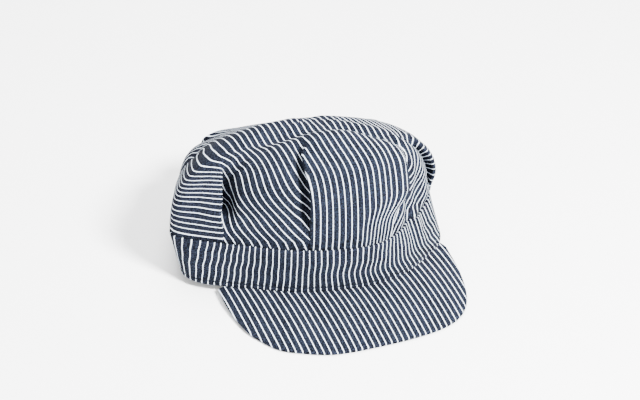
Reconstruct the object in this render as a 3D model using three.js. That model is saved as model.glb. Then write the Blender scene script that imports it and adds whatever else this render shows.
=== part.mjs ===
// Pleated work cap of striped cotton: a soft crown with four box pleats, a stand-up band and a flat visor.
// Millimetres, +Z up, the cap's front along -Y, the wearer's left along +X, resting on z = 0.
import * as THREE from 'three';

// Cloth and clearances
const crownThickness = 1.3;
const bandThickness = 2.0;
const visorThickness = 2.8;
const fitGap = 0.6;

// Overall sizes: the plan's lengths are shares of planReach, and the crown's heights of crownHeight
const planReach = 100;
const crownHeight = 100;
const bandHeight = 36.5;
const bandTuck = 7;
const crownLift = 2.2;
const crownOverhang = 1.2;
const tuckRoom = 2.0;
const seamTuck = 6;
const crownTop = { x: -0.1 * planReach, y: -0.24 * planReach, z: 0.98 * crownHeight };
const restPitchDeg = 2.95;
const restHingeY = 0.54 * planReach;
const restFlat = 0.9;
const pleatLength = 572;

// How finely the surfaces are divided
const crownLevels = 16;
const panelSteps = 5;
const bandStations = 92;
const bandLevels = 3;
const visorStations = 32;
const visorRows = 6;

// Turns the named columns of a table from shares of a size into millimetres
function sized(rows, columns, size) {
  return rows.map((row) => {
    const lengths = columns.map((column) => [column, row[column] * size]);
    return { ...row, ...Object.fromEntries(lengths) };
  });
}

// Plan of the band: lower edge and upper edge, from centre front round by the wearer's left
const bandPlan = sized([
  { lowX: 0.0, lowY: -1.06, topX: -0.03, topY: -1.06 },
  { lowX: 0.24, lowY: -1.05, topX: 0.19, topY: -1.03 },
  { lowX: 0.46, lowY: -0.97, topX: 0.38, topY: -0.92 },
  { lowX: 0.66, lowY: -0.85, topX: 0.56, topY: -0.79 },
  { lowX: 0.8, lowY: -0.74, topX: 0.69, topY: -0.67 },
  { lowX: 0.88, lowY: -0.57, topX: 0.78, topY: -0.53 },
  { lowX: 0.89, lowY: -0.36, topX: 0.82, topY: -0.34 },
  { lowX: 0.82, lowY: -0.12, topX: 0.77, topY: -0.11 },
  { lowX: 0.65, lowY: 0.12, topX: 0.61, topY: 0.13 },
  { lowX: 0.4, lowY: 0.33, topX: 0.38, topY: 0.34 },
  { lowX: 0.08, lowY: 0.48, topX: 0.07, topY: 0.48 },
  { lowX: -0.25, lowY: 0.54, topX: -0.25, topY: 0.54 },
  { lowX: -0.56, lowY: 0.51, topX: -0.57, topY: 0.51 },
  { lowX: -0.81, lowY: 0.39, topX: -0.84, topY: 0.39 },
  { lowX: -0.98, lowY: 0.18, topX: -1.04, topY: 0.18 },
  { lowX: -1.12, lowY: -0.1, topX: -1.19, topY: -0.1 },
  { lowX: -1.21, lowY: -0.36, topX: -1.29, topY: -0.33 },
  { lowX: -1.22, lowY: -0.48, topX: -1.3, topY: -0.44 },
  { lowX: -1.14, lowY: -0.6, topX: -1.17, topY: -0.55 },
  { lowX: -0.98, lowY: -0.7, topX: -1.01, topY: -0.65 },
  { lowX: -0.78, lowY: -0.81, topX: -0.81, topY: -0.77 },
  { lowX: -0.57, lowY: -0.92, topX: -0.59, topY: -0.9 },
  { lowX: -0.34, lowY: -1.0, topX: -0.36, topY: -0.99 },
], ['lowX', 'lowY', 'topX', 'topY'], planReach);

// Outline of the crown, one row per direction: share of the way round, how far the rim leans in, height of
// the rim, how far the wall puffs out half way up, and how square the shoulder is
const crownSections = sized([
  { share: 0.00, lean: 0.2, rimZ: 1.19, puff: 0.04, square: 4.2 },
  { share: 0.09, lean: 0.12, rimZ: 1.15, puff: 0.04, square: 3.8 },
  { share: 0.18, lean: 0.06, rimZ: 0.99, puff: 0.04, square: 3.2 },
  { share: 0.30, lean: 0.05, rimZ: 0.86, puff: 0.06, square: 2.8 },
  { share: 0.45, lean: 0.02, rimZ: 0.72, puff: 0.08, square: 2.6 },
  { share: 0.58, lean: 0.08, rimZ: 0.76, puff: 0.06, square: 2.8 },
  { share: 0.67, lean: 0.15, rimZ: 0.86, puff: 0.02, square: 3.0 },
  { share: 0.74, lean: 0.1, rimZ: 0.98, puff: 0.02, square: 3.4 },
  { share: 0.82, lean: 0.16, rimZ: 1.08, puff: 0.04, square: 3.2 },
  { share: 0.91, lean: 0.18, rimZ: 1.17, puff: 0.04, square: 3.8 },
], ['lean', 'rimZ', 'puff'], crownHeight);

// Folds of the four box pleats. Foot, waist and head say where the fold edge lies, as distance from centre
// front along the band, at the band, a third of the way up and at the shoulder; faces says which way the
// edge looks, under how deep the cloth folds in, open how far the pocket opens, flare how far the edge
// stands out of the wall, and ends the level where the fold has run out
const pleatFolds = sized([
  { foot: 27, waist: 46, head: 61, faces: 1, under: 0.14, open: 0.03, flare: 0.03, ends: 0.55 },
  { foot: 98, waist: 100, head: 96, faces: -1, under: 0.14, open: 0.06, flare: 0.03, ends: 0.5 },
  { foot: 183, waist: 183, head: 188, faces: 1, under: 0.14, open: 0.04, flare: 0.02, ends: 0.5 },
  { foot: 246, waist: 246, head: 240, faces: -1, under: 0.14, open: 0.03, flare: 0.01, ends: 0.5 },
  { foot: 326, waist: 326, head: 332, faces: 1, under: 0.14, open: 0.03, flare: 0.01, ends: 0.5 },
  { foot: 389, waist: 389, head: 384, faces: -1, under: 0.14, open: 0.02, flare: 0.01, ends: 0.5 },
  { foot: 469, waist: 466, head: 452, faces: 1, under: 0.14, open: 0.09, flare: 0.02, ends: 0.5 },
  { foot: 532, waist: 532, head: 520, faces: -1, under: 0.14, open: 0.05, flare: 0.02, ends: 0.64 },
], ['under', 'open', 'flare'], planReach);

// One fold from the panel's edge to the cloth beside it: share of the fold depth, side of the turn, layer
const foldPath = [
  { under: 0, turn: 0, layer: 0 },
  { under: 0, turn: 1, layer: 0.25 },
  { under: 0, turn: 0, layer: 0.5 },
  { under: 1, turn: 0, layer: 0.5 },
  { under: 1, turn: -1, layer: 0.75 },
  { under: 1, turn: 0, layer: 1 },
  { under: 0, turn: 0, layer: 1 },
];
const layerGap = 0.5;
const flatStep = 1.6;
const foldFade = 0.16;
const waistLevel = 0.14;

// Soft dents of the crown's walls: distance from centre front, height, breadth, length and depth outward
const wallDents = sized(sized([
  { at: 0.66, z: 0.52, wide: 0.12, tall: 0.22, out: -0.07 },
], ['at', 'wide', 'out'], planReach), ['z', 'tall'], crownHeight);

// Hollows and humps of the crown's top: place, length, breadth, turn from +X in degrees, and rise
const topDents = sized(sized([
  { x: -0.1, y: -0.6, long: 0.6, wide: 0.13, turn: 8, rise: -0.1 },
  { x: -0.05, y: -0.3, long: 0.45, wide: 0.18, turn: 8, rise: 0.04 },
], ['x', 'y', 'long', 'wide'], planReach), ['rise'], crownHeight);

// Ripples of the band on the wearer's left front
const bandRipples = sized([
  { at: 0.56, wide: 0.06, out: -0.025 },
  { at: 0.66, wide: 0.05, out: 0.02 },
], ['at', 'wide', 'out'], planReach);

// Visor: distance along the band, outer edge, and the edge's height above the resting plane
const visorSections = sized([
  { at: -1.08, edgeX: -1.04, edgeY: -0.7, lift: 2.4 },
  { at: -0.98, edgeX: -1.05, edgeY: -0.86, lift: 2.2 },
  { at: -0.86, edgeX: -1.04, edgeY: -1.03, lift: 1.3 },
  { at: -0.74, edgeX: -1.01, edgeY: -1.19, lift: 0.6 },
  { at: -0.62, edgeX: -0.96, edgeY: -1.3, lift: 0 },
  { at: -0.48, edgeX: -0.86, edgeY: -1.45, lift: 0 },
  { at: -0.32, edgeX: -0.7, edgeY: -1.55, lift: 0 },
  { at: -0.14, edgeX: -0.48, edgeY: -1.635, lift: 0 },
  { at: 0.04, edgeX: -0.18, edgeY: -1.66, lift: 0 },
  { at: 0.24, edgeX: 0.14, edgeY: -1.66, lift: 0 },
  { at: 0.42, edgeX: 0.4, edgeY: -1.63, lift: 0 },
  { at: 0.56, edgeX: 0.57, edgeY: -1.56, lift: 0 },
  { at: 0.66, edgeX: 0.68, edgeY: -1.45, lift: 0 },
  { at: 0.74, edgeX: 0.75, edgeY: -1.31, lift: 0.5 },
  { at: 0.82, edgeX: 0.8, edgeY: -1.11, lift: 1.5 },
  { at: 0.9, edgeX: 0.84, edgeY: -0.8, lift: 2.4 },
], ['at', 'edgeX', 'edgeY'], planReach);
const visorArch = 2.5;
const visorArchReach = 60;

const colours = { denim: 0x5d6b86, denimDark: 0x55637e };

// A smooth value read from one column of a table whose key column rises; period closes it into a loop
function readTable(rows, key, column, value, period) {
  const count = rows.length;
  const wrap = (index) => {
    if (!period) {
      const last = rows[Math.max(0, Math.min(count - 1, index))];
      return { k: last[key], v: last[column] };
    }
    const turn = Math.floor(index / count);
    const row = rows[index - turn * count];
    return { k: row[key] + turn * period, v: row[column] };
  };
  let place = value;
  if (period) {
    place = value - period * Math.floor((value - rows[0][key]) / period);
  }
  let low = 0;
  while (low < count - (period ? 1 : 2) && wrap(low + 1).k <= place) {
    low += 1;
  }
  const before = wrap(low - 1);
  const left = wrap(low);
  const right = wrap(low + 1);
  const after = wrap(low + 2);
  const span = right.k - left.k;
  const t = Math.max(0, Math.min(1, (place - left.k) / span));
  const slopeLeft = (right.v - before.v) / Math.max(1e-9, right.k - before.k) * span;
  const slopeRight = (after.v - left.v) / Math.max(1e-9, after.k - left.k) * span;
  const t2 = t * t;
  const t3 = t2 * t;
  return (2 * t3 - 3 * t2 + 1) * left.v + (t3 - 2 * t2 + t) * slopeLeft
    + (3 * t2 - 2 * t3) * right.v + (t3 - t2) * slopeRight;
}

const smooth = (low, high, value) => {
  const t = Math.max(0, Math.min(1, (value - low) / (high - low)));
  return t * t * (3 - 2 * t);
};
const bell = (offset, width) => Math.exp(-offset * offset / (width * width));

// The band's two plan curves share one parameter, read by distance along the lower edge
function closedCurve(xName, yName) {
  const points = bandPlan.map((row) => new THREE.Vector3(row[xName], row[yName], 0));
  const curve = new THREE.CatmullRomCurve3(points, true, 'centripetal');
  curve.arcLengthDivisions = 1200;
  return curve;
}
const lowCurve = closedCurve('lowX', 'lowY');
const topCurve = closedCurve('topX', 'topY');
const bandLength = lowCurve.getLength();

function planAt(distance) {
  const share = ((distance / bandLength) % 1 + 1) % 1;
  const t = lowCurve.getUtoTmapping(share);
  const tangent = lowCurve.getTangent(t);
  return {
    low: lowCurve.getPoint(t),
    top: topCurve.getPoint(t),
    out: new THREE.Vector3(tangent.y, -tangent.x, 0).normalize(),
  };
}

// Distance along the band, measured the short way from centre front
function shortWay(distance, at) {
  const offset = distance - at;
  return offset - bandLength * Math.round(offset / bandLength);
}

// A point of the band's middle surface, pushed out by extra
function bandPoint(distance, height, extra) {
  const plan = planAt(distance);
  const share = height / bandHeight;
  const point = plan.low.clone().lerp(plan.top, share);
  let out = extra;
  for (const ripple of bandRipples) {
    out += ripple.out * bell(shortWay(distance, ripple.at), ripple.wide) * smooth(0, 1, share);
  }
  point.addScaledVector(plan.out, out);
  point.z = height;
  return point;
}

// The crown's outline without its folds: level runs from the band's top edge (0) to the crown's centre (1)
function crownHull(distance, level) {
  const share = ((distance / bandLength) % 1 + 1) % 1;
  const lean = readTable(crownSections, 'share', 'lean', share, 1);
  const rimZ = readTable(crownSections, 'share', 'rimZ', share, 1);
  const puff = readTable(crownSections, 'share', 'puff', share, 1);
  const square = readTable(crownSections, 'share', 'square', share, 1);
  const angle = level * Math.PI / 2;
  const across = 1 - Math.pow(Math.max(0, Math.cos(angle)), 2 / square);
  const rise = Math.pow(Math.sin(angle), 2 / square);
  const plan = planAt(distance);
  const base = bandPoint(distance, bandHeight, crownOverhang);
  base.z += crownLift;
  const point = new THREE.Vector3();
  point.x = base.x + (crownTop.x - base.x) * across;
  point.y = base.y + (crownTop.y - base.y) * across;
  const slope = rise * (1 - across);
  point.addScaledVector(plan.out, -lean * slope + puff * 4 * rise * (1 - rise) * (1 - across));
  const rimShare = 1 - across * across;
  point.z = base.z + rise * ((rimZ - base.z) * rimShare + (crownTop.z - base.z) * (1 - rimShare));
  for (const dent of wallDents) {
    const around = bell(shortWay(distance, dent.at), dent.wide);
    const upright = bell(point.z - dent.z, dent.tall);
    point.addScaledVector(plan.out, dent.out * around * upright * (1 - across));
  }
  for (const dent of topDents) {
    const turn = THREE.MathUtils.degToRad(dent.turn);
    const dx = point.x - dent.x;
    const dy = point.y - dent.y;
    const along = dx * Math.cos(turn) + dy * Math.sin(turn);
    const aside = -dx * Math.sin(turn) + dy * Math.cos(turn);
    point.z += dent.rise * bell(along, dent.long) * bell(aside, dent.wide) * smooth(0.2, 0.75, level);
  }
  return point;
}

// Outward direction of the crown's outline
function crownNormal(distance, level) {
  const low = Math.max(0.02, level - 0.02);
  const high = Math.min(0.97, level + 0.02);
  const here = Math.min(level, 0.97);
  const along = crownHull(distance + 2, here).sub(crownHull(distance - 2, here));
  const up = crownHull(distance, high).sub(crownHull(distance, low));
  return along.cross(up).normalize();
}

// Lower rows of the crown: tucked inside the band, then the wall and the top
function crownPoint(distance, depth, row) {
  const inside = -bandThickness / 2 - tuckRoom - crownThickness / 2;
  if (row < 2) {
    const height = row === 0 ? bandHeight - bandTuck : bandHeight + 0.5;
    return bandPoint(distance, height, inside - depth);
  }
  const level = levelOf(row);
  return crownHull(distance, level).addScaledVector(crownNormal(distance, level), -depth);
}

function levelOf(row) {
  const t = (row - 1) / (crownLevels - 1);
  return 0.015 + 0.93 * Math.pow(t, 1.3);
}

// Where a fold edge lies at one level
function foldPlace(fold, level) {
  const low = smooth(0, waistLevel, level);
  const high = smooth(waistLevel, fold.ends, level);
  const place = fold.foot + (fold.waist - fold.foot) * low + (fold.head - fold.waist) * high;
  return place * bandLength / pleatLength;
}

// How one fold stands at one level: folded runs to 0 where the cloth lies flat again
function foldState(fold, level) {
  const folded = 1 - smooth(fold.ends - foldFade, fold.ends, level);
  const layered = 1 - smooth(fold.ends - 0.04, fold.ends + foldFade, level);
  const pocket = Math.sin(Math.PI * Math.min(1, level / (fold.ends + foldFade)));
  return {
    place: foldPlace(fold, level),
    folded,
    stand: (2 * (crownThickness + layerGap) + fold.open * pocket) * layered,
    flare: fold.flare * pocket * layered,
  };
}

// Stations round the crown at one row: distance along the band and depth below the outline
function crownStations(row) {
  const level = row < 2 ? 0 : levelOf(row);
  const turnSize = (crownThickness + layerGap) / 2;
  const stations = [];
  const count = pleatFolds.length;
  for (let index = 0; index < count; index += 1) {
    const fold = pleatFolds[index];
    const next = pleatFolds[(index + 1) % count];
    const state = foldState(fold, level);
    const nextState = foldState(next, level);
    const path = foldPath.map((step, place) => ({
      distance: state.place + fold.faces * (
        (step.turn * turnSize - step.under * fold.under) * state.folded
        + (place - 3) * flatStep * (1 - state.folded)),
      depth: step.layer * state.stand - (1 - step.layer) * state.flare,
    }));
    if (fold.faces < 0) {
      path.reverse();
    }
    stations.push(...path);
    const start = path[path.length - 1];
    const end = {
      distance: nextState.place - 3 * flatStep * (1 - nextState.folded),
      depth: next.faces < 0 ? nextState.stand : -nextState.flare,
    };
    let span = end.distance - start.distance;
    if (span < 0) {
      span += bandLength;
    }
    for (let step = 1; step <= panelSteps; step += 1) {
      const t = step / (panelSteps + 1);
      const sink = start.depth * (1 - smooth(0, 0.5, t)) + end.depth * smooth(0.5, 1, t);
      stations.push({ distance: start.distance + span * t, depth: sink });
    }
  }
  return stations;
}

// A closed cloth solid from a grid of middle points; loop joins the last station to the first
function clothSolid(grid, thickness, loop, centre) {
  const rows = grid.length;
  const count = grid[0].length;
  const at = (row, column) => {
    const inside = Math.max(0, Math.min(count - 1, column));
    return grid[row][loop ? (column + count) % count : inside];
  };
  const positions = [];
  for (const side of [1, -1]) {
    for (let row = 0; row < rows; row += 1) {
      for (let column = 0; column < count; column += 1) {
        const along = at(row, column + 1).clone().sub(at(row, column - 1));
        const above = grid[Math.min(rows - 1, row + 1)][column];
        const up = above.clone().sub(grid[Math.max(0, row - 1)][column]);
        const normal = along.cross(up).normalize();
        const point = grid[row][column].clone().addScaledVector(normal, side * thickness / 2);
        positions.push(point);
      }
    }
    if (centre) {
      positions.push(centre.clone().add(new THREE.Vector3(0, 0, side * thickness / 2)));
    }
  }
  const layer = rows * count + (centre ? 1 : 0);
  const id = (side, row, column) => side * layer + row * count + (loop ? column % count : column);
  const faces = [];
  const quad = (a, b, c, d) => {
    faces.push(a, b, c, a, c, d);
  };
  const spans = loop ? count : count - 1;
  for (let row = 0; row < rows - 1; row += 1) {
    for (let column = 0; column < spans; column += 1) {
      quad(id(0, row, column), id(0, row, column + 1), id(0, row + 1, column + 1), id(0, row + 1, column));
      quad(id(1, row, column), id(1, row + 1, column), id(1, row + 1, column + 1), id(1, row, column + 1));
    }
  }
  for (let column = 0; column < spans; column += 1) {
    quad(id(0, 0, column), id(1, 0, column), id(1, 0, column + 1), id(0, 0, column + 1));
    if (centre) {
      faces.push(id(0, rows - 1, column), id(0, rows - 1, column + 1), layer - 1);
      faces.push(id(1, rows - 1, column), 2 * layer - 1, id(1, rows - 1, column + 1));
    } else {
      const last = rows - 1;
      quad(id(0, last, column), id(0, last, column + 1), id(1, last, column + 1), id(1, last, column));
    }
  }
  if (!loop) {
    for (let row = 0; row < rows - 1; row += 1) {
      const end = count - 1;
      quad(id(0, row, 0), id(0, row + 1, 0), id(1, row + 1, 0), id(1, row, 0));
      quad(id(0, row, end), id(1, row, end), id(1, row + 1, end), id(0, row + 1, end));
    }
  }
  return { positions, faces };
}

// Tilts a point from the band's own level to the resting position
function toRest(point) {
  const pitch = THREE.MathUtils.degToRad(restPitchDeg);
  const y = point.y - restHingeY;
  return new THREE.Vector3(
    point.x,
    restHingeY + y * Math.cos(pitch) + point.z * Math.sin(pitch),
    -y * Math.sin(pitch) + point.z * Math.cos(pitch));
}

function crownSolid() {
  const grid = [];
  for (let row = 0; row <= crownLevels; row += 1) {
    grid.push(crownStations(row).map((station) => crownPoint(station.distance, station.depth, row)));
  }
  const centre = new THREE.Vector3();
  const last = grid[grid.length - 1];
  for (const point of last) {
    centre.addScaledVector(point, 1 / last.length);
  }
  return clothSolid(grid, crownThickness, true, centre);
}

function bandSolid() {
  const grid = [];
  for (let row = 0; row <= bandLevels; row += 1) {
    const height = bandHeight * row / bandLevels;
    const line = [];
    for (let column = 0; column < bandStations; column += 1) {
      line.push(bandPoint(bandLength * column / bandStations, height, 0));
    }
    grid.push(line);
  }
  return clothSolid(grid, bandThickness, true, null);
}

function visorSolid() {
  const pitch = Math.tan(THREE.MathUtils.degToRad(restPitchDeg));
  const grid = [];
  for (let row = 0; row <= visorRows; row += 1) {
    grid.push([]);
  }
  const first = visorSections[0].at;
  const length = visorSections[visorSections.length - 1].at - first;
  for (let column = 0; column <= visorStations; column += 1) {
    const distance = first + length * column / visorStations;
    const edgeX = readTable(visorSections, 'at', 'edgeX', distance, 0);
    const edgeY = readTable(visorSections, 'at', 'edgeY', distance, 0);
    const lift = readTable(visorSections, 'at', 'lift', distance, 0);
    const inner = bandPoint(distance, 0, -seamTuck);
    const seam = bandPoint(distance, 0, bandThickness / 2);
    const edgeZ = (edgeY - restHingeY) * pitch + lift + visorThickness / 2;
    const arch = visorArch * Math.min(1, Math.hypot(edgeX - seam.x, edgeY - seam.y) / visorArchReach);
    for (let row = 0; row <= visorRows; row += 1) {
      const under = -fitGap - visorThickness / 2;
      const point = new THREE.Vector3();
      if (row === 0) {
        point.set(inner.x, inner.y, under);
      } else {
        const t = (row - 1) / (visorRows - 1);
        point.set(seam.x + (edgeX - seam.x) * t, seam.y + (edgeY - seam.y) * t, 0);
        point.z = under + (edgeZ - under) * t + arch * 4 * t * (1 - t);
      }
      grid[visorRows - row].push(point);
    }
  }
  return clothSolid(grid, visorThickness, false, null);
}

function makeMesh(name, solid, shift, colour) {
  const geometry = new THREE.BufferGeometry();
  const values = [];
  for (const point of solid.positions) {
    const placed = toRest(point).add(shift);
    values.push(placed.x, placed.y, placed.z < restFlat ? 0 : placed.z);
  }
  geometry.setAttribute('position', new THREE.Float32BufferAttribute(values, 3));
  geometry.setIndex(solid.faces);
  geometry.computeVertexNormals();
  const material = new THREE.MeshStandardMaterial({ color: colour, roughness: 0.9, metalness: 0 });
  const mesh = new THREE.Mesh(geometry, material);
  mesh.name = name;
  return mesh;
}

const solids = { crown: crownSolid(), band: bandSolid(), visor: visorSolid() };

// The outline's middle goes to the origin, its lowest point to the resting plane
const bounds = new THREE.Box3();
for (const solid of Object.values(solids)) {
  for (const point of solid.positions) {
    bounds.expandByPoint(toRest(point));
  }
}
const middle = bounds.getCenter(new THREE.Vector3());
const shift = new THREE.Vector3(-middle.x, -middle.y, -bounds.min.z);

const cap = new THREE.Group();
cap.name = 'engineer_cap';
cap.add(makeMesh('crown', solids.crown, shift, colours.denim));
cap.add(makeMesh('band', solids.band, shift, colours.denimDark));
cap.add(makeMesh('visor', solids.visor, shift, colours.denim));

export default cap;
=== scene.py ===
import math

import bpy
import numpy as np
from mathutils import Matrix, Vector


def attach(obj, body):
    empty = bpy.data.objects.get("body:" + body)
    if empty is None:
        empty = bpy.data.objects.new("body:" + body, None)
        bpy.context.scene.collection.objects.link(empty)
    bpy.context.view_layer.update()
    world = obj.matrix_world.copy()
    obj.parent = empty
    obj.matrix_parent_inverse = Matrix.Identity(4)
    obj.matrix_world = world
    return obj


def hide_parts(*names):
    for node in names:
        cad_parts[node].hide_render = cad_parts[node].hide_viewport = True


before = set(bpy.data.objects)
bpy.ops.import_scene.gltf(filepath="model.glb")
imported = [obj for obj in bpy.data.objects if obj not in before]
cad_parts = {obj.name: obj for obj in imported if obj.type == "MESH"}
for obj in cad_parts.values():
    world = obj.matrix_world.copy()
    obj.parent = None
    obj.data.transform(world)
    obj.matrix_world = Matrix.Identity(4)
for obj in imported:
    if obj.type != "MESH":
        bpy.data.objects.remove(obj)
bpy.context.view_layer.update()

# Sizes in millimetres, in the cap's own level: front along -Y, wearer's left along +X
STRIPE_PITCH = 4.72
STRIPE_WIDTH = 0.56
CROWN_THICK = 1.3
BAND_THICK = 2.0
VISOR_THICK = 2.8
BAND_HEIGHT = 36.5
CROWN_TOP = np.array([-10.0, -24.0, 102.0])

# Seams: room between the band and the crown's turned-in edge, lift of the crown over the band's edge,
# gap between the band and the visor, and how far the visor reaches in under the band
TUCK_ROOM = 2.0
CROWN_LIFT = 0.9
SEAM_GAP = 0.35
SEAM_TUCK = 6.0

# Length round the band in which the places of the folds and panels are counted
PLEAT_LENGTH = 572.0

# Resting position: pitch about the back of the band, then the shift to the shared frame
REST_PITCH = math.radians(2.95)
REST_HINGE_Y = 54.0
REST_SHIFT = np.array([20.411, 52.173, 0.058])

# How finely the surfaces are divided
PLAN_SAMPLES = 6001
CROWN_LEVELS = 96
LEVEL_START = 0.002
LEVEL_REACH = 0.958
LEVEL_POWER = 1.2
PANEL_STEPS = 20
TURN_STEPS = 5
LEAD_STEPS = 3
UNDER_STEPS = 6
BESIDE_STEPS = 7
BAND_STATIONS = 620
VISOR_STATIONS = 260
VISOR_ROWS = 70
VISOR_ROW_POWER = 1.6

# Steps along the band and in level by which the crown's outward direction is measured, and the levels
# that this stays between
NORMAL_RUN = 1.5
NORMAL_STEP = 0.012
NORMAL_LOW = 0.01
NORMAL_HIGH = 0.975
NORMAL_TOP = 0.97

# Plan of the band, from centre front round by the wearer's left: lower edge x and y, upper edge x and y
PLAN = [
    (0, -106, -3, -106),
    (24, -105, 19, -103),
    (46, -97, 38, -92),
    (66, -85, 56, -79),
    (80, -74, 69, -67),
    (88, -57, 78, -53),
    (89, -36, 82, -34),
    (82, -12, 77, -11),
    (65, 12, 61, 13),
    (40, 33, 38, 34),
    (8, 48, 7, 48),
    (-25, 54, -25, 54),
    (-56, 51, -57, 51),
    (-81, 39, -84, 39),
    (-98, 18, -104, 18),
    (-112, -10, -119, -10),
    (-121, -36, -129, -33),
    (-122, -48, -130, -44),
    (-114, -60, -117, -55),
    (-98, -70, -101, -65),
    (-78, -81, -81, -77),
    (-57, -92, -59, -90),
    (-34, -100, -36, -99),
]

# Outline of the crown by direction: share of the way round, lean of the wall, height of the rim,
# puff half way up and squareness of the shoulder
SECTION_NAMES = ("share", "lean", "rim", "puff", "square")
SECTIONS = [
    (0.0, 20, 119, 4, 4.2),
    (0.09, 12, 115, 4, 3.8),
    (0.18, 6, 99, 4, 3.2),
    (0.3, 5, 86, 6, 2.8),
    (0.45, 2, 72, 8, 2.6),
    (0.58, 8, 80, 6, 2.8),
    (0.67, 12, 97, 2, 3.2),
    (0.74, 9, 103, 2, 3.4),
    (0.82, 16, 109, 4, 3.2),
    (0.91, 18, 117, 4, 3.8),
]

# Fold edges of the four box pleats: place along the band at foot, waist and head, the way the edge
# faces, depth folded under at the foot, opening of the pocket, how far the edge stands out, bulge of
# the cloth beside the edge, level where the fold ends
FOLD_NAMES = ("foot", "waist", "head", "faces", "under", "open", "flare", "roll", "ends")
FOLDS = [
    (27, 47, 62, 1, 16, 6, 4, 1, 0.5),
    (98, 100, 96, -1, 18, 5, 3, 0, 0.46),
    (183, 183, 187, 1, 15, 5, 3, 1, 0.4),
    (246, 246, 242, -1, 13, 4, 2, 1, 0.36),
    (326, 326, 331, 1, 13, 4, 2, 1, 0.36),
    (389, 389, 386, -1, 12, 2, 0, 0, 0.3),
    (469, 466, 456, 1, 24, 22, 3, 0, 0.46),
    (532, 532, 521, -1, 20, 11, 2, 0, 0.62),
]

# Course of a fold: level of its waist, how far below its end the fold and its layers start to fade, how
# far above it they have settled, and the share of the cloth under it that is lost on the way
WAIST_LEVEL = 0.14
FOLD_FADE = 0.12
LAYER_FADE = 0.08
FOLD_SETTLE = 0.22
UNDER_TAPER = 0.75

# Levels where a pocket is open and an edge stands out in full, and shares of the fold's height where they
# start to close
POCKET_RISE = 0.1
POCKET_FALL = 0.4
FLARE_RISE = 0.12
FLARE_FALL = 0.6

# Cloth of a fold: gap between its layers, cloth in its edge, cloth before the edge in turns, and how wide
# the flat cloth is where the fold has ended, first and at last, with the levels for that from the end
LAYER_GAP = 0.5
TURN_CLOTH = 2.0
FOLD_LEAD = 1.2
FLAT_SPREAD = (8.0, 34.0)
SPREAD_LEVELS = (-0.1, 0.25)

# Depth lost across a panel, in shares of its width: width of the valley under a fold low down and at the
# fold's end, width where no fold lies over it, then the steep part's start, its end and its share
VALLEY_WIDTH = (0.75, 0.45)
PLAIN_WIDTH = 0.5
STEEP_START = 0.04
STEEP_WIDTH = 0.2
STEEP_SHARE = 0.65

# Bulge of the cloth beside an edge: its distance and width. Share of a fold's depth that is left at the
# seam, and the level from which it is whole
ROLL_PLACE = 9.0
ROLL_WIDTH = 6.0
SEAM_SQUASH = 0.15
SEAM_RISE = 0.07

# The front panel's cloth bunches up beside its left edge: how far in, and how much of it
GATHER_WIDTH = 34.0
GATHER_SHARE = 0.6

# Panel of the wearer's right side, the place where it turns away to the back, how fast its stripes sink
# beyond that place, how softly that starts, and the level where it is in full
SIDE_PANEL = 6
SIDE_CORNER = 456.0
SIDE_DROP = 0.2
SIDE_SOFT = 5.0
SIDE_FULL = 0.12

# How the cloth of two panels joins: width of the join above their fold, levels for it from the fold's
# end, share of the fold's height where it starts, and the levels between which the top takes over
HULL_STATIONS = 1201
JOIN_WIDTH = 30.0
JOIN_LEVELS = (-0.05, 0.3)
JOIN_START = 0.3
TOP_BLEND = (0.3, 0.75)

# Cloth direction of the eight panels: centre along the band and angle of the panel in the flat cloth
PANEL_NAMES = ("centre", "angle")
PANELS = [
    (0.0, -90.0),
    (71.5, -45.0),
    (143.0, 0.0),
    (214.5, 45.0),
    (286.0, 90.0),
    (357.5, 135.0),
    (429.0, 180.0),
    (500.5, -135.0),
]

# Rows of the crown's seam below its wall: height above the band's edge and share of the way inwards
SEAM_ROWS = [
    (-7.0, 1.0),
    (-4.0, 0.8),
    (-1.5, 0.56),
    (-0.4, 0.45),
    (0.3, 0.36),
]

# Soft dents of the walls: place, height, breadth, length, depth outward
WALL_DENTS = [
    (66, 52, 12, 22, -7),
]

# Hollows and humps of the top: place, length, breadth, turn in degrees, rise; they grow between two levels
TOP_DENTS = [
    (-42, -42, 42, 10, -9, -7),
    (20, -58, 34, 11, -28, -9),
    (-20, -18, 60, 14, 0, 4),
]
DENT_LEVELS = (0.2, 0.75)

# Ripples of the band on the wearer's left front: place, breadth, depth outward
RIPPLES = [
    (56, 6, -2.5),
    (66, 5, 2.0),
]

# How far the band's stripes lean: place along the band at the lower edge, then the shift along the band
# at three heights
LEAN_NAMES = ("at", "low", "middle", "top")
LEAN = [
    (-160, 0, 0, 0),
    (-142, -1, -2.5, -4),
    (-124, -2.2, -5.2, -8),
    (-108, -3, -6.3, -9.2),
    (-95, -2.5, -5.5, -7.5),
    (-80, -2, -4, -5),
    (-60, -1.5, -2.5, -3),
    (-30, 0.5, -1, -1),
    (4, 2.7, 0, -0.7),
    (14, 4.2, 1.6, 0),
    (24, 4.5, 2.6, 0.9),
    (31, 4.8, 3.5, 1.4),
    (49, 4.6, 3, 4),
    (64, 4.9, 4.6, 5),
    (86, 6.5, 10.5, 12),
    (110, 3, 6, 8),
    (150, 0, 0, 0),
]
LEAN_HEIGHTS = (14.0, 25.5)

# Visor: place along the band, outer edge, height of the edge above the surface the cap rests on
VISOR_NAMES = ("at", "edge_x", "edge_y", "lift")
VISOR = [
    (-108, -104, -70, 2.4),
    (-98, -105, -86, 2.2),
    (-86, -104, -103, 1.3),
    (-74, -101, -119, 0.6),
    (-62, -96, -130, 0),
    (-48, -86, -145, 0),
    (-32, -70, -155, 0),
    (-14, -48, -163.5, 0),
    (4, -18, -166, 0),
    (24, 14, -166, 0),
    (42, 40, -163, 0),
    (56, 57, -156, 0),
    (66, 68, -145, 0),
    (74, 75, -131, 0.5),
    (82, 80, -111, 1.5),
    (90, 84, -80, 2.4),
]
VISOR_ARCH = 2.5
VISOR_ARCH_REACH = 60.0

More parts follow.
